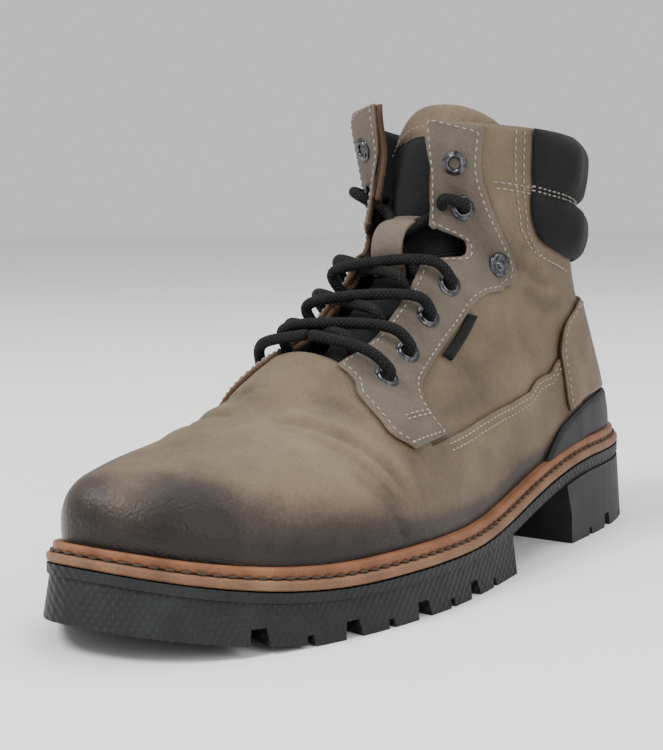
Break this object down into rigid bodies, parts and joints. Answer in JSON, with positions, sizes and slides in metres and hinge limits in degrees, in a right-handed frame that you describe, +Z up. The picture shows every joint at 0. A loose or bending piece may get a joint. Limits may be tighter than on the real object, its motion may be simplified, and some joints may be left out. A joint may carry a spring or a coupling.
{
  "type": "lace-up boot",
  "caption": "Ankle-high lace-up leather boot for the left foot, with padded cuff, eyestays, welt, midsole and lugged rubber sole with a separate heel.",
  "frame": {"origin": "centre of the footprint's bounding box, on the floor", "axes": "toe at -Y, heel at +Y, outer (lateral) side at +X, +Z up"},
  "size_m": [0.1178, 0.311, 0.1726],
  "materials": {
    "rubber": "satin dark grey rubber",
    "midsole_leather": "brown edge",
    "welt_leather": "orange tan edge",
    "upper_leather": "matt taupe nubuck, burnished at the toe",
    "eyestay_leather": "matt grey taupe nubuck",
    "cuff_nubuck": "black nubuck",
    "tongue_fabric": "black twill",
    "insole_fabric": "dark lining",
    "eyelet_metal": "gunmetal",
    "tab_fabric": "black woven tab, left bare",
    "lace_cord": "black round cord"
  },
  "bodies": {
    "root": {"outsole": "rubber", "heel_block": "rubber", "midsole": "midsole_leather", "welt": "welt_leather", "insole": "insole_fabric", "upper": "upper_leather", "eyestay_lateral": "eyestay_leather", "eyestay_medial": "eyestay_leather", "back_panel": "upper_leather", "heel_rand": "rubber", "collar_cuff": "cuff_nubuck", "tongue": "tongue_fabric", "tongue_loop": "upper_leather", "eyelet_lateral_1": "eyelet_metal", "eyelet_lateral_2": "eyelet_metal", "eyelet_lateral_3": "eyelet_metal", "eyelet_lateral_4": "eyelet_metal", "eyelet_lateral_5": "eyelet_metal", "eyelet_lateral_6": "eyelet_metal", "eyelet_medial_1": "eyelet_metal", "eyelet_medial_2": "eyelet_metal", "eyelet_medial_3": "eyelet_metal", "eyelet_medial_4": "eyelet_metal", "eyelet_medial_5": "eyelet_metal", "eyelet_medial_6": "eyelet_metal", "rivet": "eyelet_metal", "side_tab": "tab_fabric", "lace_bar": "lace_cord", "lace_cross_2": "lace_cord", "lace_cross_3": "lace_cord", "lace_cross_4": "lace_cord", "lace_cross_5": "lace_cord"}
  },
  "joints": []
}
